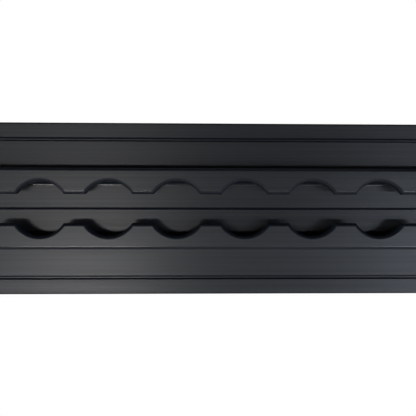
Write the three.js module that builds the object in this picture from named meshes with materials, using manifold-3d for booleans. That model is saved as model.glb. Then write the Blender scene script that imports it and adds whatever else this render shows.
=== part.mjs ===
// A wall rail with a scalloped T-slot: an extruded aluminium track, its end caps and its screws.
// Millimetres. X runs along the rail, +Z is up the wall and the front faces -Y. The back lies on
// the wall at y = 0, and the origin is the centre of that back face. Depth below is minus y, the
// distance out from the wall.
import * as THREE from 'three';
import { mergeVertices } from 'three/addons/utils/BufferGeometryUtils.js';
import Module from 'manifold-3d';

const wasm = await Module();
wasm.setup();

// Driving dimensions.
const PITCH = 25.4;
const NOTCH_COUNT = 12;
const RAIL_LENGTH = PITCH * NOTCH_COUNT;
const GAP = 0.3;

// The rail's section, seen from its end: half widths from the centre line, and depths from the wall.
const FLANGE_HALF = 33.34;
const FLANGE_DEPTH = 3.2;
const FLANGE_EDGE_RADIUS = 0.6;
const BODY_HALF = 15.25;
const BODY_DEPTH = 12.7;
const BODY_EDGE_RADIUS = 1.2;
const BODY_ROOT_RADIUS = 0.3;
const SLOT_HALF = 5.45;
const LIP_EDGE_RADIUS = 1.2;
const LIP_BACK_DEPTH = 10.1;
const CHANNEL_HALF = 10.4;
const CHANNEL_ROOF_RADIUS = 0.5;
const CHANNEL_FLOOR_RADIUS = 1.4;
const GUIDE_GROOVE = { z: 26.85, half: 0.69, floorHalf: 0.28, deep: 0.8 };
const CENTRE_GROOVE = { half: 0.6, deep: 0.45 };

// The round notches, cut through the lips alone, with a rounded rim.
const NOTCH_RADIUS = 10.2;
const NOTCH_RIM_RADIUS = 1.2;
const NOTCH_CUT_DEPTH = 8.0;
const NOTCH_SIDES = 32;

// Countersunk wood screws, all alike.
const SCREW = { headRadius: 4.1, land: 0.3, shankRadius: 2.0, length: 20, tip: 5, tipRadius: 0.3 };
const SCREW_SUNK = 0.25;
const SCREW_SIDES = 20;
const RECESS = { half: 2.3, bar: 1.0, deep: 1.7 };
const FLANGE_SCREW_X = [4.0 * PITCH, 5.5 * PITCH];
const CHANNEL_SCREW_X = 4.5 * PITCH;

// The end caps.
const CAP_LENGTH = 19;
const CAP_CREST = 3;
const CAP_NOSE_DEPTH = 3.0;
const CAP_NOSE_HALF = 11;
const CAP_CORNER_RADIUS = 7;
const CAP_WALL = 1.8;
const CAP_RIB = 1.5;
const CAP_BOSS_RADIUS = 6.2;
const CAP_SCREW_X = 9.5;
const CAP_SCREW_DEPTH = 5.2;
const TONGUE_LENGTH = 6.5;
const TONGUE_CHAMFER = 2;

const anodised = new THREE.MeshStandardMaterial({ color: 0x33353a, roughness: 0.42, metalness: 0.6 });
const nylon = new THREE.MeshStandardMaterial({ color: 0x1b1b1d, roughness: 0.6, metalness: 0 });
const blackSteel = new THREE.MeshStandardMaterial({ color: 0x202124, roughness: 0.35, metalness: 0.8 });

// A closed geometry as a solid for joining and cutting.
function solid(geometry) {
  geometry.deleteAttribute('normal');
  geometry.deleteAttribute('uv');
  const merged = mergeVertices(geometry, 1e-4);
  return new wasm.Manifold(new wasm.Mesh({
    numProp: 3,
    vertProperties: merged.attributes.position.array,
    triVerts: new Uint32Array(merged.index.array),
  }));
}

function piece(name, body, material) {
  const mesh = body.getMesh();
  const geometry = new THREE.BufferGeometry();
  geometry.setAttribute('position', new THREE.BufferAttribute(mesh.vertProperties, mesh.numProp));
  geometry.setIndex(new THREE.BufferAttribute(mesh.triVerts, 1));
  geometry.computeVertexNormals();
  const made = new THREE.Mesh(geometry, material);
  made.name = name;
  return made;
}

function arc(x, y, radius, fromDegrees, toDegrees, steps) {
  return Array.from({ length: steps + 1 }, (_, i) => {
    const angle = THREE.MathUtils.degToRad(fromDegrees + (toDegrees - fromDegrees) * i / steps);
    return [x + radius * Math.cos(angle), y + radius * Math.sin(angle)];
  });
}

const shapeOf = (points) => new THREE.Shape(points.map(([x, y]) => new THREE.Vector2(x, y)));

// An outline given for z >= 0, from its back edge round to its centre line, with its mirror image.
function mirrored(half) {
  const other = half.filter(([z]) => z > 0).reverse().map(([z, depth]) => [-z, depth]);
  return shapeOf([...half, ...other]);
}

// Extrudes an outline so that its x and y become the directions given and its thickness the third.
function extrude(shape, thickness, across, up, along, start) {
  const geometry = new THREE.ExtrudeGeometry(shape, { depth: thickness, bevelEnabled: false });
  geometry.translate(0, 0, start);
  geometry.applyMatrix4(new THREE.Matrix4().makeBasis(across, up, along));
  return solid(geometry);
}

const X = new THREE.Vector3(1, 0, 0);
const Z = new THREE.Vector3(0, 0, 1);
const OUT = new THREE.Vector3(0, -1, 0);

// A section in (z, depth), run along X.
const alongX = (shape, fromX, toX) => extrude(shape, toX - fromX, Z, OUT, X, fromX);
// A side view in (x, depth), run along Z, which the extrusion meets as minus Z.
const acrossZ = (shape, half) =>
  extrude(shape, 2 * half, X, OUT, new THREE.Vector3(0, 0, -1), -half);
// A front view in (x, z), run from the wall outwards.
const outFromWall = (shape, fromDepth, toDepth) =>
  extrude(shape, toDepth - fromDepth, X, Z, OUT, fromDepth);

// A turned solid about a line square to the wall. The outline is (radius, depth) from low depth up.
function turned(outline, sides) {
  const points = outline.map(([radius, depth]) => new THREE.Vector2(radius, -depth)).reverse();
  return solid(new THREE.LatheGeometry(points, sides));
}

function railSection() {
  const { z, half, floorHalf, deep } = GUIDE_GROOVE;
  const edge = FLANGE_EDGE_RADIUS;
  return mirrored([
    ...arc(FLANGE_HALF - edge, edge, edge, -90, 0, 2),
    ...arc(FLANGE_HALF - edge, FLANGE_DEPTH - edge, edge, 0, 90, 2),
    [z + half, FLANGE_DEPTH], [z + floorHalf, FLANGE_DEPTH - deep],
    [z - floorHalf, FLANGE_DEPTH - deep], [z - half, FLANGE_DEPTH],
    ...arc(BODY_HALF + BODY_ROOT_RADIUS, FLANGE_DEPTH + BODY_ROOT_RADIUS, BODY_ROOT_RADIUS, 270, 180, 1),
    ...arc(BODY_HALF - BODY_EDGE_RADIUS, BODY_DEPTH - BODY_EDGE_RADIUS, BODY_EDGE_RADIUS, 0, 90, 3),
    ...arc(SLOT_HALF + LIP_EDGE_RADIUS, BODY_DEPTH - LIP_EDGE_RADIUS, LIP_EDGE_RADIUS, 90, 180, 3),
    [SLOT_HALF, LIP_BACK_DEPTH],
    ...arc(CHANNEL_HALF - CHANNEL_ROOF_RADIUS, LIP_BACK_DEPTH - CHANNEL_ROOF_RADIUS,
      CHANNEL_ROOF_RADIUS, 90, 0, 1),
    ...arc(CHANNEL_HALF - CHANNEL_FLOOR_RADIUS, FLANGE_DEPTH + CHANNEL_FLOOR_RADIUS,
      CHANNEL_FLOOR_RADIUS, 0, -90, 3),
    [CENTRE_GROOVE.half, FLANGE_DEPTH],
    [0, FLANGE_DEPTH - CENTRE_GROOVE.deep],
  ]);
}

// The cutter for one notch: straight through the lips, then opening out over the rounded rim.
function notchCutter() {
  const over = 1;
  const rim = NOTCH_RIM_RADIUS;
  return turned([
    [0, NOTCH_CUT_DEPTH],
    [NOTCH_RADIUS, NOTCH_CUT_DEPTH],
    ...arc(NOTCH_RADIUS + rim, BODY_DEPTH - rim, rim, 180, 90, 3),
    [NOTCH_RADIUS + rim, BODY_DEPTH + over],
    [0, BODY_DEPTH + over],
  ], NOTCH_SIDES);
}

// Where a screw's axis meets the plane of its head's top, for every screw in the part.
function screwPlaces() {
  const places = [];
  const seat = FLANGE_DEPTH - SCREW_SUNK;
  const flangeX = [...FLANGE_SCREW_X.map((x) => -x).reverse(), ...FLANGE_SCREW_X];
  flangeX.forEach((x, i) => {
    places.push({ name: `flange_screw_upper_${i + 1}`, x, z: GUIDE_GROOVE.z, depth: seat });
    places.push({ name: `flange_screw_lower_${i + 1}`, x, z: -GUIDE_GROOVE.z, depth: seat });
  });
  for (const [side, sign] of [['left', -1], ['right', 1]]) {
    places.push({ name: `channel_screw_${side}`, x: sign * CHANNEL_SCREW_X, z: 0, depth: seat });
    const x = sign * (RAIL_LENGTH / 2 + CAP_SCREW_X);
    places.push({ name: `end_cap_screw_${side}`, x, z: 0, depth: CAP_SCREW_DEPTH });
  }
  return places;
}

const atPlace = (body, { x, z, depth }) => body.translate([x, -depth, z]);

// The hole for a screw: its own outline with a gap all round, open above its head.
function screwHole() {
  const { headRadius, land, shankRadius, length } = SCREW;
  const coneDepth = headRadius - shankRadius;
  return turned([
    [0, -length],
    [shankRadius + GAP, -length],
    [shankRadius + GAP, -land - coneDepth],
    [headRadius + GAP, -land],
    [headRadius + GAP, BODY_DEPTH],
    [0, BODY_DEPTH],
  ], SCREW_SIDES);
}

function screw() {
  const { headRadius, land, shankRadius, length, tip, tipRadius } = SCREW;
  const coneDepth = headRadius - shankRadius;
  const body = turned([
    [0, -length],
    [tipRadius, -length],
    [shankRadius, tip - length],
    [shankRadius, -land - coneDepth],
    [headRadius, -land],
    [headRadius, 0],
    [0, 0],
  ], SCREW_SIDES);
  const { half, bar, deep } = RECESS;
  const long = solid(new THREE.BoxGeometry(2 * half, 2 * deep, bar));
  const cross = long.add(solid(new THREE.BoxGeometry(bar, 2 * deep, 2 * half)));
  return body.subtract(cross);
}

function rail(holes) {
  let body = alongX(railSection(), -RAIL_LENGTH / 2, RAIL_LENGTH / 2);
  for (let i = 0; i < NOTCH_COUNT; i += 1) {
    const x = (i - (NOTCH_COUNT - 1) / 2) * PITCH;
    body = body.subtract(notchCutter().translate([x, 0, 0]));
  }
  for (const hole of holes) body = body.subtract(hole);
  return body;
}

// The outside of the right-hand cap as a block, with every face but the back moved in by inset.
function capBlock(inset) {
  const start = RAIL_LENGTH / 2 + GAP;
  const end = RAIL_LENGTH / 2 + CAP_LENGTH;
  const back = inset > 0 ? -1 : 0;
  const slope = (BODY_DEPTH - CAP_NOSE_DEPTH) / (CAP_LENGTH - CAP_CREST);
  const drop = inset * Math.hypot(1, slope);
  const run = end - (RAIL_LENGTH / 2 + CAP_CREST);
  const edge = BODY_EDGE_RADIUS;
  const middle = alongX(mirrored([
    [BODY_HALF - inset, back],
    ...arc(BODY_HALF - inset - edge, BODY_DEPTH - inset - edge, edge, 0, 90, 3),
    [0, BODY_DEPTH - inset],
  ]), start + inset, end - inset);
  const ramp = acrossZ(shapeOf([
    [start, -2], [end, -2], [end, CAP_NOSE_DEPTH - drop],
    [end - run, BODY_DEPTH - drop], [start, BODY_DEPTH + slope * CAP_CREST],
  ]), FLANGE_HALF);
  const taper = outFromWall(shapeOf([
    [start, -BODY_HALF + inset], [end, -CAP_NOSE_HALF + inset],
    [end, CAP_NOSE_HALF - inset], [start, BODY_HALF - inset],
  ]), -2, BODY_DEPTH + 1);
  const wing = FLANGE_HALF - inset;
  const corner = CAP_CORNER_RADIUS - inset;
  const plate = outFromWall(shapeOf([
    [start + inset, -wing],
    ...arc(end - inset - corner, -wing + corner, corner, -90, 0, 4),
    ...arc(end - inset - corner, wing - corner, corner, 0, 90, 4),
    [start + inset, wing],
  ]), back, FLANGE_DEPTH - inset);
  return middle.intersect(ramp).intersect(taper).add(plate);
}

// The T-shaped plug that fills the end of the rail's slot and channel.
function tongue() {
  const slot = SLOT_HALF - GAP;
  const channel = CHANNEL_HALF - GAP;
  const floor = FLANGE_DEPTH + GAP;
  const roof = LIP_BACK_DEPTH - GAP;
  return alongX(mirrored([
    [channel - TONGUE_CHAMFER, floor],
    [channel, floor + TONGUE_CHAMFER],
    [channel, roof - CHANNEL_ROOF_RADIUS],
    [channel - CHANNEL_ROOF_RADIUS, roof],
    [slot, roof],
    [slot, BODY_DEPTH - LIP_EDGE_RADIUS],
    [0, BODY_DEPTH - LIP_EDGE_RADIUS],
  ]), RAIL_LENGTH / 2 - TONGUE_LENGTH, RAIL_LENGTH / 2 + GAP + CAP_WALL);
}

// The right-hand cap: a thin moulding, open at the back, with ribs and a boss round its screw.
function endCap(hole) {
  const outside = capBlock(0);
  const shell = outside.subtract(capBlock(CAP_WALL));
  const centre = RAIL_LENGTH / 2 + CAP_SCREW_X;
  const boss = solid(new THREE.CylinderGeometry(CAP_BOSS_RADIUS, CAP_BOSS_RADIUS, 4 * BODY_DEPTH, 24))
    .translate([centre, 0, 0]);
  const longRib = solid(new THREE.BoxGeometry(CAP_RIB, 4 * BODY_DEPTH, 2 * BODY_HALF))
    .translate([centre, 0, 0]);
  const inside = outside.intersect(boss.add(longRib));
  return shell.add(inside).add(tongue()).subtract(hole);
}

const holes = screwPlaces().map((place) => atPlace(screwHole(), place));
const capHole = atPlace(screwHole(), screwPlaces().find(({ name }) => name === 'end_cap_screw_right'));
const rightCap = endCap(capHole);

const group = new THREE.Group();
group.add(piece('rail', rail(holes), anodised));
group.add(piece('end_cap_left', rightCap.rotate([0, 180, 0]), nylon));
group.add(piece('end_cap_right', rightCap, nylon));
for (const { name, x, z, depth } of screwPlaces()) {
  const made = piece(name, screw(), blackSteel);
  made.position.set(x, -depth, z);
  group.add(made);
}

export default group;
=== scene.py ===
"""Looks for a black anodised wall rail with a scalloped T-slot, its end caps and its screws.

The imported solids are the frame. Each one is replaced by a finer mesh of the same size in the same
place: the rail with true round edges and notches, moulded end caps and threaded screws. X runs
along the rail, +Z is up and the front faces -Y. Depth is the distance out from the wall, minus y.
The long grooves are up to 0.14 mm wider or narrower at each side than the solids' grooves.
"""

import math

import bmesh
import bpy
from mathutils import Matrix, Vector


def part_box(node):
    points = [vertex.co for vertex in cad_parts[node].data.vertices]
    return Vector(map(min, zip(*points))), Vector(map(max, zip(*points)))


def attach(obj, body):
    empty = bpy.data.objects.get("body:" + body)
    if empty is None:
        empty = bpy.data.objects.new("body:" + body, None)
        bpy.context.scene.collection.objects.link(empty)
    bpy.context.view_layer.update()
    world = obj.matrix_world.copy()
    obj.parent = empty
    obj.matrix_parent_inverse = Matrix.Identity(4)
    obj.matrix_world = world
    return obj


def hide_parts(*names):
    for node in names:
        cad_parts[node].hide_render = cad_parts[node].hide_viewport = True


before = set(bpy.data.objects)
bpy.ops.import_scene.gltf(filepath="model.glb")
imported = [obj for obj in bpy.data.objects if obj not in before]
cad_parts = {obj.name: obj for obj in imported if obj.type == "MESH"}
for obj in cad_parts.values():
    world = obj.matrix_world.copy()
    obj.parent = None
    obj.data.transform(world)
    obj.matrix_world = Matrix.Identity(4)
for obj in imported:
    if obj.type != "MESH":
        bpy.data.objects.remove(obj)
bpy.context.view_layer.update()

MM = 0.001
TOLERANCE = 0.01 * MM
GAP = 0.3 * MM
RAIL_LOW, RAIL_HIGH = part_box("rail")
CAP_LOW, CAP_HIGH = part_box("end_cap_right")
CAP_SCREW_LOW, CAP_SCREW_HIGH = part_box("end_cap_screw_right")

# The rail's section: half widths from the centre line, and depths from the wall.
RAIL_HALF_LENGTH = RAIL_HIGH[0]
FLANGE_HALF = RAIL_HIGH[2]
FLANGE_DEPTH = 3.2 * MM
BODY_DEPTH = -RAIL_LOW[1]
BODY_HALF = 15.25 * MM
SLOT_HALF = 5.45 * MM
CHANNEL_HALF = 10.4 * MM
LIP_BACK_DEPTH = 10.1 * MM
FLANGE_EDGE_RADIUS = 0.6 * MM
BODY_EDGE_RADIUS = 1.2 * MM
BODY_ROOT_RADIUS = 0.3 * MM
LIP_EDGE_RADIUS = 1.2 * MM
LIP_HEEL_RADIUS = 0.3 * MM
CHANNEL_ROOF_RADIUS = 0.5 * MM
CHANNEL_FLOOR_RADIUS = 1.4 * MM
GUIDE_GROOVE = {"z": 26.85 * MM, "half": 0.8 * MM, "floor_half": 0.2 * MM, "deep": 0.8 * MM}
CENTRE_GROOVE = {"half": 0.46 * MM, "deep": 0.38 * MM}
END_CHAMFER = 0.25 * MM

# The round notches along the slot.
PITCH = 25.4 * MM
NOTCH_COUNT = round(2 * RAIL_HALF_LENGTH / PITCH)
NOTCH_RADIUS = 10.2 * MM
NOTCH_RIM_RADIUS = 1.2 * MM
NOTCH_CUT_DEPTH = 8.0 * MM
NOTCH_SIDES = 128

# Screws: each head's top is flush with the face that it sits in.
SCREW_NODES = sorted(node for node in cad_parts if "screw" in node)
SCREW_LENGTH = CAP_SCREW_HIGH[1] - CAP_SCREW_LOW[1]
HEAD_RADIUS = (CAP_SCREW_HIGH[0] - CAP_SCREW_LOW[0]) / 2
HEAD_LAND = 0.3 * MM
HEAD_RIM = 0.12 * MM
SHANK_RADIUS = 2.0 * MM
CONE = HEAD_RADIUS - SHANK_RADIUS
NECK = 0.4 * MM
THREAD = {"root": 1.45 * MM, "crest": 2.1 * MM, "pitch": 1.8 * MM, "start": 4.0 * MM}
THREAD_SIDES = 32
THREAD_ROWS_PER_TURN = 12
THREAD_HALF_WIDTH = 0.3
TIP_LENGTH = 5.0 * MM
TIP_SHARE = 0.06
TIP_BLUNT = 0.02 * MM
RECESS = {"half": 2.3 * MM, "bar": 1.1 * MM, "deep": 1.9 * MM, "flare": 1.1, "taper": 0.5}
RECESS_OVER = 0.5 * MM
SOCKET = {"floor": 0.5 * MM, "mouth": 1.25 * MM, "deep": 2.2 * MM, "sides": 24}
HOLE_RADIUS = SHANK_RADIUS + GAP
SINK_RADIUS = HEAD_RADIUS + GAP
ROUND_SIDES = 64
FIRST_TURN = 11
TURN_STEP = 37

# End caps.
CAP_START = RAIL_HALF_LENGTH + GAP
CAP_END = CAP_HIGH[0]
CAP_CREST = 3 * MM
CAP_NOSE_DEPTH = 3.0 * MM
CAP_NOSE_HALF = 11 * MM
CAP_CORNER_RADIUS = 7 * MM
CAP_WALL = 1.8 * MM
CAP_RIB = 1.5 * MM
CAP_BOSS_RADIUS = 6.2 * MM
CAP_SCREW_X = (CAP_SCREW_LOW[0] + CAP_SCREW_HIGH[0]) / 2
CAP_EDGE_RADIUS = 0.45 * MM
TONGUE_CHAMFER = 2 * MM
CUT_OVER = 1 * MM

# Finish: the rail's material slots, and the parts of a face's normal that choose between them. The
# machined slot is darker and duller: partly the cut walls' own finish, partly painted shade on those
# walls and on steep flanks.
ANODISED, MACHINED_AND_SHADED, BURNISHED = 0, 1, 2
BURNISHED_FROM = 0.03
BURNISHED_TO = 0.25
SQUARE_TO_X = 0.01
FACES_FRONT = -0.02
FACES_HOLE = -0.04
ANODISED_ANISOTROPY = 0.54

# Stage, in metres: the floor, the camera and the tints of the lights.
FLOOR_HEIGHT = -0.6
FLOOR_RADIUS = 1.1
CAMERA_LENS = 46.4
CAMERA_SIDE = -6.4 * MM
CAMERA_DISTANCE = 199.8 * MM
CAMERA_HEIGHT = 1.2 * MM
CAMERA_TURN = (89.74, -0.09, -1.52)
WHITE = (1, 1, 1)
WARM = (1, 0.99, 0.97)
COOL = (0.78, 0.86, 1.0)
MIDDLE = (0, 0, 0)


# --- Mesh helpers -------------------------------------------------------------------------------


def arc(x, y, radius, start, end, steps):
    """Points on an arc, with its angles in degrees."""
    angles = [math.radians(start + (end - start) * i / steps) for i in range(steps + 1)]
    return [(x + radius * math.cos(a), y + radius * math.sin(a)) for a in angles]


def mirrored(half):
    """A whole outline from its half with z >= 0, given from the back edge to the centre line."""
    other = [(-z, depth) for z, depth in reversed(half) if z > 1e-9]
    return half + other


def new_object(name, data):
    made = bpy.data.objects.new(name, data)
    bpy.context.scene.collection.objects.link(made)
    return made


def to_mesh(name, bm):
    bmesh.ops.recalc_face_normals(bm, faces=bm.faces)
    mesh = bpy.data.meshes.new(name)
    bm.to_mesh(mesh)
    bm.free()
    return mesh


def prism(name, outline, place, start, end):
    """An outline run from start to end. place(u, v, w) gives a point's place in the frame."""
    bm = bmesh.new()
    rings = [[bm.verts.new(place(u, v, w)) for u, v in outline] for w in (start, end)]
    bm.faces.new(rings[0])
    bm.faces.new(rings[1])
    count = len(outline)
    for i in range(count):
        j = (i + 1) % count
        bm.faces.new((rings[0][i], rings[0][j], rings[1][j], rings[1][i]))
    return new_object(name, to_mesh(name, bm))


def along_x(z, depth, x):
    return (x, -depth, z)


def across_z(x, depth, z):
    return (x, -depth, z)


def out_from_wall(x, z, depth):
    return (x, -depth, z)


def turned(name, outline, sides, centre=(0.0, 0.0)):
    """A solid turned about a line square to the wall, from (radius, depth) pairs off the axis."""
    bm = bmesh.new()
    rings = []
    for radius, depth in outline:
        ring = []
        for i in range(sides):
            a = 2 * math.pi * i / sides
            at = (centre[0] + radius * math.cos(a), -depth, centre[1] + radius * math.sin(a))
            ring.append(bm.verts.new(at))
        rings.append(ring)
    for low, high in zip(rings, rings[1:]):
        for i in range(sides):
            j = (i + 1) % sides
            bm.faces.new((low[i], low[j], high[j], high[i]))
    bm.faces.new(rings[0])
    bm.faces.new(rings[-1])
    return new_object(name, to_mesh(name, bm))


def joined(name, objects):
    """One object from several, with all their meshes."""
    bm = bmesh.new()
    for each in objects:
        bm.from_mesh(each.data)
        bpy.data.objects.remove(each)
    return new_object(name, to_mesh(name, bm))


def apply_modifiers(obj):
    graph = bpy.context.evaluated_depsgraph_get()
    mesh = bpy.data.meshes.new_from_object(obj.evaluated_get(graph), depsgraph=graph)
    old = obj.data
    obj.modifiers.clear()
    obj.data = mesh
    mesh.name = obj.name
    bpy.data.meshes.remove(old)


def combine(obj, tool, operation):
    """Cuts obj with tool, or joins or intersects the two, and removes tool."""
    modifier = obj.modifiers.new("combine", "BOOLEAN")
    modifier.operation = operation
    modifier.solver = "MANIFOLD"
    modifier.object = tool
    apply_modifiers(obj)
    bpy.data.objects.remove(tool)
    return obj


def round_edges(obj, radius, segments, wanted):
    """Rounds or chamfers the sharp outer edges for which wanted(middle of the edge) is true."""
    bm = bmesh.new()
    bm.from_mesh(obj.data)
    edges = []
    for edge in bm.edges:
        sharp = edge.is_manifold and edge.is_convex and edge.calc_face_angle() > math.radians(30)
        if sharp and wanted((edge.verts[0].co + edge.verts[1].co) / 2):
            edges.append(edge)
    bmesh.ops.bevel(bm, geom=edges, offset=radius, offset_type="OFFSET", segments=segments,
                    profile=0.5, affect="EDGES", clamp_overlap=False)
    bmesh.ops.recalc_face_normals(bm, faces=bm.faces)
    bm.to_mesh(obj.data)
    bm.free()


def smooth(obj, degrees=28):
    """Smooth shading with sharp edges past an angle, and flat faces left truly flat."""
    mesh = obj.data
    mesh.shade_smooth()
    mesh.set_sharp_from_angle(angle=math.radians(degrees))
    weighted = obj.modifiers.new("weighted", "WEIGHTED_NORMAL")
    weighted.keep_sharp = True
    weighted.weight = 100


def stand_for(obj, node, slot, *materials):
    """Puts a finished piece in the place of its CAD node."""
    obj.data.materials.clear()
    for material in materials:
        obj.data.materials.append(material)
    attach(obj, "root")
    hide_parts(node)


def centre_of(node):
    low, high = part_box(node)
    return (Vector(low) + Vector(high)) / 2


# --- Rail ---------------------------------------------------------------------------------------


def rail_section():
    """The section's outline as (z, depth)."""
    z, half, inner, deep = (GUIDE_GROOVE[k] for k in ("z", "half", "floor_half", "deep"))
    edge, root, body = FLANGE_EDGE_RADIUS, BODY_ROOT_RADIUS, BODY_EDGE_RADIUS
    lip, heel = LIP_EDGE_RADIUS, LIP_HEEL_RADIUS
    roof, floor = CHANNEL_ROOF_RADIUS, CHANNEL_FLOOR_RADIUS
    return mirrored([
        *arc(FLANGE_HALF - edge, edge, edge, -90, 0, 6),
        *arc(FLANGE_HALF - edge, FLANGE_DEPTH - edge, edge, 0, 90, 6),
        (z + half, FLANGE_DEPTH), (z + inner, FLANGE_DEPTH - deep),
        (z - inner, FLANGE_DEPTH - deep), (z - half, FLANGE_DEPTH),
        *arc(BODY_HALF + root, FLANGE_DEPTH + root, root, 270, 180, 5),
        *arc(BODY_HALF - body, BODY_DEPTH - body, body, 0, 90, 12),
        *arc(SLOT_HALF + lip, BODY_DEPTH - lip, lip, 90, 180, 12),
        *arc(SLOT_HALF + heel, LIP_BACK_DEPTH + heel, heel, 180, 270, 4),
        *arc(CHANNEL_HALF - roof, LIP_BACK_DEPTH - roof, roof, 90, 0, 5),
        *arc(CHANNEL_HALF - floor, FLANGE_DEPTH + floor, floor, 0, -90, 12),
        (CENTRE_GROOVE["half"], FLANGE_DEPTH),
        (0.0, FLANGE_DEPTH - CENTRE_GROOVE["deep"]),
    ])


def notch_places():
    return [(i - (NOTCH_COUNT - 1) / 2) * PITCH for i in range(NOTCH_COUNT)]


def notch_cutter(x):
    """A notch down into the channel, flaring at its rounded rim."""
    rim = NOTCH_RIM_RADIUS
    return turned("cutter", [
        (NOTCH_RADIUS, NOTCH_CUT_DEPTH),
        *arc(NOTCH_RADIUS + rim, BODY_DEPTH - rim, rim, 180, 90, 10),
        (NOTCH_RADIUS + rim, BODY_DEPTH + CUT_OVER),
    ], NOTCH_SIDES, (x, 0.0))


def screw_hole(node):
    """The countersunk hole round a screw, open above its head."""
    low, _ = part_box(node)
    top = -low[1]
    centre = centre_of(node)
    return turned("cutter", [
        (HOLE_RADIUS, top - SCREW_LENGTH),
        (HOLE_RADIUS, top - HEAD_LAND - CONE),
        (SINK_RADIUS, top - HEAD_LAND),
        (SINK_RADIUS, top + BODY_DEPTH),
    ], ROUND_SIDES, (centre.x, centre.z))


def machined_faces(mesh):
    """Gives the machined finish to the walls and rims of the notches and screw holes; its darkness
    there is partly painted shade.
    """
    holes = [(x, 0.0, NOTCH_RADIUS + NOTCH_RIM_RADIUS) for x in notch_places()]
    for node in SCREW_NODES:
        centre = centre_of(node)
        holes.append((centre.x, centre.z, SINK_RADIUS))
    for face in mesh.polygons:
        x, _, z = face.center
        for hole_x, hole_z, radius in holes:
            away = Vector((x - hole_x, 0.0, z - hole_z))
            in_hole = HOLE_RADIUS / 2 < away.length < radius + 5 * TOLERANCE
            if in_hole and face.normal.dot(away.normalized()) < FACES_HOLE:
                face.material_index = MACHINED_AND_SHADED


def rounded_faces(mesh):
    """Along X, makes the first degrees of each rounding burnished, and the flanks past them dull:
    their darker, duller material is painted shade.
    """
    for face in mesh.polygons:
        along, out, up = face.normal
        if face.material_index != ANODISED or abs(along) > SQUARE_TO_X or out > FACES_FRONT:
            continue
        # Steep flanks, the guide grooves' flanks among them, take the dark machined material as
        # painted shade.
        if abs(up) > BURNISHED_TO:
            face.material_index = MACHINED_AND_SHADED
        elif abs(up) > BURNISHED_FROM:
            face.material_index = BURNISHED


def make_rail(anodised, machined, burnished):
    rail = prism("rail_extrusion", rail_section(), along_x, -RAIL_HALF_LENGTH, RAIL_HALF_LENGTH)
    round_edges(rail, END_CHAMFER, 1, lambda at: abs(at.x) > RAIL_HALF_LENGTH - TOLERANCE)
    cutters = [notch_cutter(x) for x in notch_places()]
    cutters += [screw_hole(node) for node in SCREW_NODES if not node.startswith("end_cap")]
    combine(rail, joined("cutters", cutters), "DIFFERENCE")
    stand_for(rail, "rail", "anodised_aluminium", anodised, machined, burnished)
    machined_faces(rail.data)
    rounded_faces(rail.data)
    smooth(rail)


# --- End caps -----------------------------------------------------------------------------------


def on_cap_outside(at):
    """True off the two faces that meet the wall and the rail."""
    return at.y < -TOLERANCE and at.x > CAP_START + TOLERANCE


def cap_ramp(inset):
    """All that lies under the cap's slope, from the crest by the rail down to the nose."""
    start, end = CAP_START, CAP_END
    over = 2 * CUT_OVER
    crest = RAIL_HALF_LENGTH + CAP_CREST
    slope = (BODY_DEPTH - CAP_NOSE_DEPTH) / (end - crest)
    drop = inset * math.hypot(1, slope)
    return prism("cutter", [
        (start, -over), (end, -over), (end, CAP_NOSE_DEPTH - drop),
        (crest, BODY_DEPTH - drop), (start, BODY_DEPTH + slope * CAP_CREST),
    ], across_z, -FLANGE_HALF, FLANGE_HALF)


def cap_taper(inset):
    """All that lies between the raised middle's sides, which close in towards the nose."""
    start, end = CAP_START, CAP_END
    over = 2 * CUT_OVER
    return prism("cutter", [
        (start, inset - BODY_HALF), (end, inset - CAP_NOSE_HALF),
        (end, CAP_NOSE_HALF - inset), (start, BODY_HALF - inset),
    ], out_from_wall, -over, BODY_DEPTH + over)


def cap_plate(inset, back):
    """The flat plate with two round corners, as thick as the rail's flanges."""
    start, end = CAP_START + inset, CAP_END - inset
    wing = FLANGE_HALF - inset
    corner = CAP_CORNER_RADIUS - inset
    return prism("cutter", [
        (start, -wing),
        *arc(end - corner, corner - wing, corner, -90, 0, 16),
        *arc(end - corner, wing - corner, corner, 0, 90, 16),
        (start, wing),
    ], out_from_wall, back, FLANGE_DEPTH - inset)


def cap_block(inset):
    """The outside of the right-hand cap, with every face but the back moved in by inset."""
    back = -CUT_OVER if inset > 0 else 0.0
    edge = BODY_EDGE_RADIUS
    half, top = BODY_HALF - inset, BODY_DEPTH - inset
    middle = prism("cap", mirrored([
        (half, back),
        *arc(half - edge, top - edge, edge, 0, 90, 8),
        (0.0, top),
    ]), along_x, CAP_START + inset, CAP_END - inset)
    ramp, taper, plate = cap_ramp(inset), cap_taper(inset), cap_plate(inset, back)
    combine(middle, ramp, "INTERSECT")
    combine(middle, taper, "INTERSECT")
    if inset == 0:
        for part in (middle, plate):
            round_edges(part, CAP_EDGE_RADIUS, 3, on_cap_outside)
    return combine(middle, plate, "UNION")


def cap_tongue():
    """The T-shaped plug that fills the end of the rail's slot and channel."""
    slot, channel = SLOT_HALF - GAP, CHANNEL_HALF - GAP
    floor, roof = FLANGE_DEPTH + GAP, LIP_BACK_DEPTH - GAP
    front = BODY_DEPTH - LIP_EDGE_RADIUS
    return prism("cutter", mirrored([
        (channel - TONGUE_CHAMFER, floor),
        (channel, floor + TONGUE_CHAMFER),
        (channel, roof - CHANNEL_ROOF_RADIUS),
        (channel - CHANNEL_ROOF_RADIUS, roof),
        (slot, roof),
        (slot, front),
        (0.0, front),
    ]), along_x, CAP_LOW[0], CAP_START + CAP_WALL)


def cap_boss():
    """The boss round the cap's screw with the rib through it, still running out of the cap."""
    back, front = -CUT_OVER, 2 * BODY_DEPTH
    boss = turned("boss", [(CAP_BOSS_RADIUS, back), (CAP_BOSS_RADIUS, front)], ROUND_SIDES,
                  (CAP_SCREW_X, 0.0))
    left, right = CAP_SCREW_X - CAP_RIB / 2, CAP_SCREW_X + CAP_RIB / 2
    rib = prism("cutter", [
        (left, -BODY_HALF), (right, -BODY_HALF), (right, BODY_HALF), (left, BODY_HALF),
    ], out_from_wall, back, front)
    return combine(boss, rib, "UNION")


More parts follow.
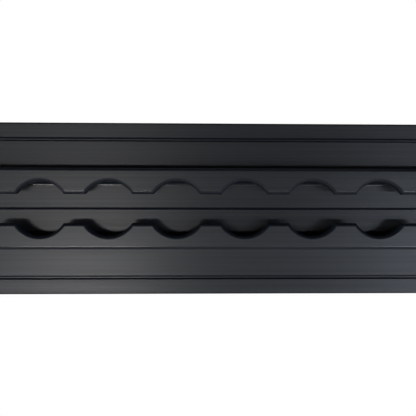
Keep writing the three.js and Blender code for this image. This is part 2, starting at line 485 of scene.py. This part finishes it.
def cap_mesh():
    """The right-hand cap: a shell with a boss, a rib and the tongue, drilled for its screw."""
    cap = cap_block(0.0)
    outside = new_object("outside", cap.data.copy())
    core = cap_block(CAP_WALL)
    combine(cap, core, "DIFFERENCE")
    boss = cap_boss()
    combine(boss, outside, "INTERSECT")
    combine(cap, boss, "UNION")
    combine(cap, cap_tongue(), "UNION")
    return combine(cap, screw_hole("end_cap_screw_right"), "DIFFERENCE")


def make_caps(nylon):
    """Both caps: the left one is the right one mirrored."""
    right = cap_mesh()
    right.name = "end_cap_right_moulding"
    left = new_object("end_cap_left_moulding", right.data.copy())
    for vertex in left.data.vertices:
        vertex.co.x = -vertex.co.x
    left.data.flip_normals()
    for cap, node in ((left, "end_cap_left"), (right, "end_cap_right")):
        stand_for(cap, node, "black_nylon", nylon)
        smooth(cap)


# --- Screws -------------------------------------------------------------------------------------


def thread_radius(down, turn):
    """The skin's distance from the screw's axis, at a depth under its top and a share of a turn."""
    root, crest, pitch = THREAD["root"], THREAD["crest"], THREAD["pitch"]
    left = (SCREW_LENGTH - down) / TIP_LENGTH
    taper = min(1.0, TIP_SHARE + (1 - TIP_SHARE) * left)
    begun = min(1.0, max(0.0, (down - THREAD["start"]) / pitch))
    phase = (down / pitch - turn) % 1.0
    flank = max(0.0, 1 - abs(phase - 0.5) / THREAD_HALF_WIDTH)
    plain = SHANK_RADIUS - (SHANK_RADIUS - root) * begun
    return (plain + (crest - root) * flank * begun) * taper


def thread_body():
    """The shank and its helical thread, tapering to the tip, as one closed skin."""
    step = THREAD["pitch"] / THREAD_ROWS_PER_TURN
    rows = int((SCREW_LENGTH - HEAD_LAND) / step) + 1
    bm = bmesh.new()
    rings = []
    for row in range(rows + 1):
        down = min(HEAD_LAND + row * step, SCREW_LENGTH - TIP_BLUNT)
        ring = []
        for i in range(THREAD_SIDES):
            radius = thread_radius(down, i / THREAD_SIDES)
            a = 2 * math.pi * i / THREAD_SIDES
            ring.append(bm.verts.new((radius * math.cos(a), down, radius * math.sin(a))))
        rings.append(ring)
    for low, high in zip(rings, rings[1:]):
        for i in range(THREAD_SIDES):
            j = (i + 1) % THREAD_SIDES
            bm.faces.new((low[i], low[j], high[j], high[i]))
    bm.faces.new(rings[0])
    bm.faces.new(rings[-1])
    return new_object("thread", to_mesh("thread", bm))


def recess_wing(turn):
    """One tapering bar of the cross in a screw's head."""
    half, bar = RECESS["half"], RECESS["bar"]
    bm = bmesh.new()
    rings = []
    for depth, share in ((RECESS_OVER, RECESS["flare"]), (-RECESS["deep"], RECESS["taper"])):
        corners = [(-half * share, -bar / 2), (half * share, -bar / 2),
                   (half * share, bar / 2), (-half * share, bar / 2)]
        turned_corners = [(x, z) if turn == 0 else (-z, x) for x, z in corners]
        rings.append([bm.verts.new((x, -depth, z)) for x, z in turned_corners])
    bm.faces.new(rings[0])
    bm.faces.new(rings[1])
    for i in range(4):
        j = (i + 1) % 4
        bm.faces.new((rings[0][i], rings[0][j], rings[1][j], rings[1][i]))
    return new_object("cutter", to_mesh("cutter", bm))


def screw_mesh():
    """A countersunk wood screw with a cross recess, its top at depth 0 and its tip below."""
    rim = HEAD_RIM
    head = turned("head", [
        (SHANK_RADIUS, -HEAD_LAND - CONE - NECK),
        (SHANK_RADIUS, -HEAD_LAND - CONE),
        (HEAD_RADIUS, -HEAD_LAND),
        (HEAD_RADIUS, -rim),
        (HEAD_RADIUS - rim * 0.3, -rim * 0.3),
        (HEAD_RADIUS - rim, 0.0),
    ], ROUND_SIDES)
    combine(head, thread_body(), "UNION")
    for turn in (0, 1):
        combine(head, recess_wing(turn), "DIFFERENCE")
    socket = turned("cutter", [
        (SOCKET["floor"], -SOCKET["deep"]), (SOCKET["mouth"], RECESS_OVER),
    ], SOCKET["sides"])
    return combine(head, socket, "DIFFERENCE")


def make_screws(steel):
    """One screw for each screw node, each driven to its own angle."""
    pattern = screw_mesh()
    for number, node in enumerate(SCREW_NODES):
        low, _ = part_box(node)
        centre = centre_of(node)
        turn = math.radians(TURN_STEP * number + FIRST_TURN)
        screw = new_object(node + "_threaded", pattern.data.copy())
        for vertex in screw.data.vertices:
            x, y, z = vertex.co
            vertex.co = (
                centre.x + x * math.cos(turn) - z * math.sin(turn),
                low[1] + y,
                centre.z + x * math.sin(turn) + z * math.cos(turn),
            )
        stand_for(screw, node, "black_steel", steel)
        smooth(screw, degrees=35)
    bpy.data.objects.remove(pattern)


# --- Materials ----------------------------------------------------------------------------------


def new_material(name):
    material = bpy.data.materials.new(name)
    material.use_nodes = True
    nodes = material.node_tree.nodes
    return material, nodes, material.node_tree.links, nodes["Principled BSDF"]


def noise(nodes, links, cycles, detail):
    """A noise over the piece's own coordinates, with its cycles a metre along X, Y and Z."""
    place = nodes.new("ShaderNodeTexCoord")
    mapping = nodes.new("ShaderNodeMapping")
    mapping.inputs["Scale"].default_value = cycles
    texture = nodes.new("ShaderNodeTexNoise")
    texture.inputs["Scale"].default_value = 1.0
    texture.inputs["Detail"].default_value = detail
    links.new(place.outputs["Object"], mapping.inputs["Vector"])
    links.new(mapping.outputs["Vector"], texture.inputs["Vector"])
    return texture.outputs["Fac"]


def ramp(nodes, links, factor, low, high, from_low=0.3, from_high=0.7):
    """Maps a noise to a range."""
    node = nodes.new("ShaderNodeMapRange")
    node.inputs["From Min"].default_value = from_low
    node.inputs["From Max"].default_value = from_high
    node.inputs["To Min"].default_value = low
    node.inputs["To Max"].default_value = high
    links.new(factor, node.inputs["Value"])
    return node.outputs["Result"]


def ramp_colour(nodes, links, low, high, factor):
    """Blends two colours by a noise."""
    node = nodes.new("ShaderNodeMix")
    node.data_type = "RGBA"
    node.inputs["A"].default_value = (*low, 1)
    node.inputs["B"].default_value = (*high, 1)
    links.new(ramp(nodes, links, factor, 0.0, 1.0), node.inputs["Factor"])
    return node.outputs["Result"]


def bump(nodes, links, shader, height, distance, strength=1.0):
    node = nodes.new("ShaderNodeBump")
    node.inputs["Strength"].default_value = strength
    node.inputs["Distance"].default_value = distance
    links.new(height, node.inputs["Height"])
    links.new(node.outputs["Normal"], shader.inputs["Normal"])


def anodised_material(name, smoothest, roughest):
    """Drawn aluminium, dyed black: fine lines along X and a gloss spread across them."""
    material, nodes, links, shader = new_material(name)
    tint = ramp_colour(nodes, links, (0.010, 0.011, 0.013), (0.030, 0.031, 0.034),
                       noise(nodes, links, (6, 900, 1500), 4.0))
    links.new(tint, shader.inputs["Base Color"])
    lines = noise(nodes, links, (9, 1300, 2300), 3.0)
    links.new(ramp(nodes, links, lines, smoothest, roughest), shader.inputs["Roughness"])
    shader.inputs["IOR"].default_value = 1.7
    shader.inputs["Anisotropic"].default_value = ANODISED_ANISOTROPY
    along = nodes.new("ShaderNodeCombineXYZ")
    along.inputs["Z"].default_value = 1.0
    links.new(along.outputs["Vector"], shader.inputs["Tangent"])
    bump(nodes, links, shader, noise(nodes, links, (12, 1500, 2500), 3.0), 0.004 * MM)
    return material


def machined_and_shade_material():
    """Walls cut before anodising, darker and duller, with fine rings. On these walls the darkness is
    partly painted shade, and on the steep flanks of roundings and grooves it is all painted shade.
    """
    material, nodes, links, shader = new_material("black_anodised_machined_and_painted_shade")
    # The dark tint, and the weak reflection from the low IOR below, are partly painted shade, kept
    # low so notch shadows and flanks read black.
    tint = ramp_colour(nodes, links, (0.006, 0.008, 0.012), (0.012, 0.015, 0.022),
                       noise(nodes, links, (900, 2600, 900), 3.0))
    links.new(tint, shader.inputs["Base Color"])
    links.new(ramp(nodes, links, noise(nodes, links, (700, 4000, 700), 2.0), 0.34, 0.46),
              shader.inputs["Roughness"])
    shader.inputs["IOR"].default_value = 1.36
    bump(nodes, links, shader, noise(nodes, links, (150, 5200, 150), 2.0), 0.002 * MM)
    return material


def nylon_material():
    """Injection-moulded nylon with a fine spark-eroded grain."""
    material, nodes, links, shader = new_material("black_nylon_moulding")
    tint = ramp_colour(nodes, links, (0.017, 0.017, 0.018), (0.026, 0.026, 0.027),
                       noise(nodes, links, (260, 260, 260), 5.0))
    links.new(tint, shader.inputs["Base Color"])
    links.new(ramp(nodes, links, noise(nodes, links, (420, 420, 420), 3.0), 0.46, 0.6),
              shader.inputs["Roughness"])
    shader.inputs["IOR"].default_value = 1.53
    bump(nodes, links, shader, noise(nodes, links, (3200, 3200, 3200), 2.0), 0.02 * MM, 0.6)
    return material


def steel_material():
    """Black oxide over rolled and headed steel, rubbed a little bright on its edges."""
    material, nodes, links, shader = new_material("black_oxide_steel")
    dark = ramp_colour(nodes, links, (0.035, 0.035, 0.038), (0.075, 0.073, 0.072),
                       noise(nodes, links, (1500, 1500, 1500), 5.0))
    worn = nodes.new("ShaderNodeMix")
    worn.data_type = "RGBA"
    worn.inputs["B"].default_value = (0.3, 0.3, 0.31, 1)
    edge = nodes.new("ShaderNodeNewGeometry")
    links.new(ramp(nodes, links, edge.outputs["Pointiness"], 0.0, 0.5, 0.54, 0.62),
              worn.inputs["Factor"])
    links.new(dark, worn.inputs["A"])
    links.new(worn.outputs["Result"], shader.inputs["Base Color"])
    shader.inputs["Metallic"].default_value = 1.0
    links.new(ramp(nodes, links, noise(nodes, links, (2300, 2300, 2300), 3.0), 0.3, 0.48),
              shader.inputs["Roughness"])
    bump(nodes, links, shader, noise(nodes, links, (2600, 2600, 2600), 4.0), 0.01 * MM)
    return material


# --- Stage --------------------------------------------------------------------------------------


def make_camera():
    """Almost square on to the rail, turned a little to the right, as close as a hand's length."""
    data = bpy.data.cameras.new("camera")
    data.lens = CAMERA_LENS
    data.sensor_width = 36.0
    data.clip_start = 0.005
    camera = new_object("camera", data)
    camera.location = (CAMERA_SIDE, -BODY_DEPTH - CAMERA_DISTANCE, CAMERA_HEIGHT)
    camera.rotation_euler = [math.radians(a) for a in CAMERA_TURN]
    bpy.context.scene.camera = camera


def make_world():
    """White as the camera sees it, and a dim grey room as the part sees it."""
    world = bpy.data.worlds.new("world")
    world.use_nodes = True
    nodes, links = world.node_tree.nodes, world.node_tree.links
    room = nodes["Background"]
    room.inputs["Color"].default_value = (0.9, 0.95, 1, 1)
    room.inputs["Strength"].default_value = 0.012
    backdrop = nodes.new("ShaderNodeBackground")
    backdrop.inputs["Color"].default_value = (1, 1, 1, 1)
    path = nodes.new("ShaderNodeLightPath")
    mix = nodes.new("ShaderNodeMixShader")
    links.new(path.outputs["Is Camera Ray"], mix.inputs["Fac"])
    links.new(room.outputs["Background"], mix.inputs[1])
    links.new(backdrop.outputs["Background"], mix.inputs[2])
    links.new(mix.outputs["Shader"], nodes["World Output"].inputs["Surface"])
    bpy.context.scene.world = world


def make_floor():
    """A plain pale floor well below the rail, which fades to white away from the middle."""
    bm = bmesh.new()
    bmesh.ops.create_circle(bm, cap_ends=True, segments=96, radius=FLOOR_RADIUS)
    floor = new_object("floor", to_mesh("floor", bm))
    floor.location.z = FLOOR_HEIGHT
    material = bpy.data.materials.new("pale_floor")
    material.use_nodes = True
    nodes, links = material.node_tree.nodes, material.node_tree.links
    shader = nodes["Principled BSDF"]
    shader.inputs["Base Color"].default_value = (0.8, 0.8, 0.8, 1)
    shader.inputs["Roughness"].default_value = 0.9
    shader.inputs["Emission Color"].default_value = (1, 1, 1, 1)
    shader.inputs["Emission Strength"].default_value = 0.16
    glow = nodes.new("ShaderNodeEmission")
    place = nodes.new("ShaderNodeTexCoord")
    length = nodes.new("ShaderNodeVectorMath")
    length.operation = "LENGTH"
    links.new(place.outputs["Object"], length.inputs[0])
    links.new(ramp(nodes, links, length.outputs["Value"], 0.86, 1.0, 0.0, FLOOR_RADIUS),
              glow.inputs["Color"])
    path = nodes.new("ShaderNodeLightPath")
    mix = nodes.new("ShaderNodeMixShader")
    links.new(path.outputs["Is Camera Ray"], mix.inputs["Fac"])
    links.new(shader.outputs["BSDF"], mix.inputs[1])
    links.new(glow.outputs["Emission"], mix.inputs[2])
    links.new(mix.outputs["Shader"], nodes["Material Output"].inputs["Surface"])
    floor.data.materials.append(material)


def make_light(name, place, target, width, height, power, colour=WHITE):
    """A soft rectangular light at a place, facing a target, with its power in watts."""
    data = bpy.data.lights.new(name, "AREA")
    data.shape = "RECTANGLE"
    data.color = colour
    data.size, data.size_y = width, height
    data.energy = power
    light = new_object(name, data)
    light.location = place
    light.rotation_euler = (Vector(target) - Vector(place)).to_track_quat("-Z", "Y").to_euler()
    light.visible_camera = False
    return light


def make_strip(name, place, width, height, power, colour):
    """A long low strip in front of the rail, facing straight at the wall."""
    return make_light(name, place, (place[0], 0, place[2]), width, height, power, colour)


def make_lights():
    """Strips that give the front its uneven sheen, and softer lights for the other sides."""
    make_strip("left_softbox", (-0.182, -0.649, -0.122), 0.193, 0.048, 0.51, WARM)
    make_strip("middle_softbox", (0.1, -0.68, -0.115), 0.7, 0.05, 0.17, COOL)
    make_strip("right_softbox", (0.46, -0.723, -0.13), 0.3, 0.045, 0.54, COOL)
    make_strip("far_left_softbox", (-0.614, -0.704, -0.23), 0.518, 0.14, 0.55, COOL)
    make_strip("low_softbox", (0.504, -0.707, -0.28), 0.85, 0.16, 0.25, COOL)
    make_light("side_left_softbox", (-0.86, -0.5, -0.2), MIDDLE, 0.8, 0.5, 2.6)
    make_light("side_right_softbox", (0.86, -0.5, -0.2), MIDDLE, 0.8, 0.5, 2.6, COOL)
    make_light("end_left_softbox", (-1.0, 0.18, 0.15), MIDDLE, 0.5, 0.5, 1.2)
    make_light("end_right_softbox", (1.0, 0.18, 0.15), MIDDLE, 0.5, 0.5, 1.2)
    make_light("back_left_softbox", (-0.6, 0.9, -0.15), MIDDLE, 1.0, 0.8, 3.0)
    make_light("back_right_softbox", (0.6, 0.9, -0.15), MIDDLE, 1.0, 0.8, 3.0, COOL)
    make_light("top_softbox", (0, 0.18, 1.0), MIDDLE, 0.9, 0.22, 0.5)


make_camera()
make_world()
make_floor()
make_lights()

make_rail(
    anodised_material("black_anodised_extrusion", 0.34, 0.42),
    machined_and_shade_material(),
    anodised_material("black_anodised_burnished", 0.19, 0.24),
)
make_caps(nylon_material())
make_screws(steel_material())

bpy.context.scene.view_settings.view_transform = "Standard"
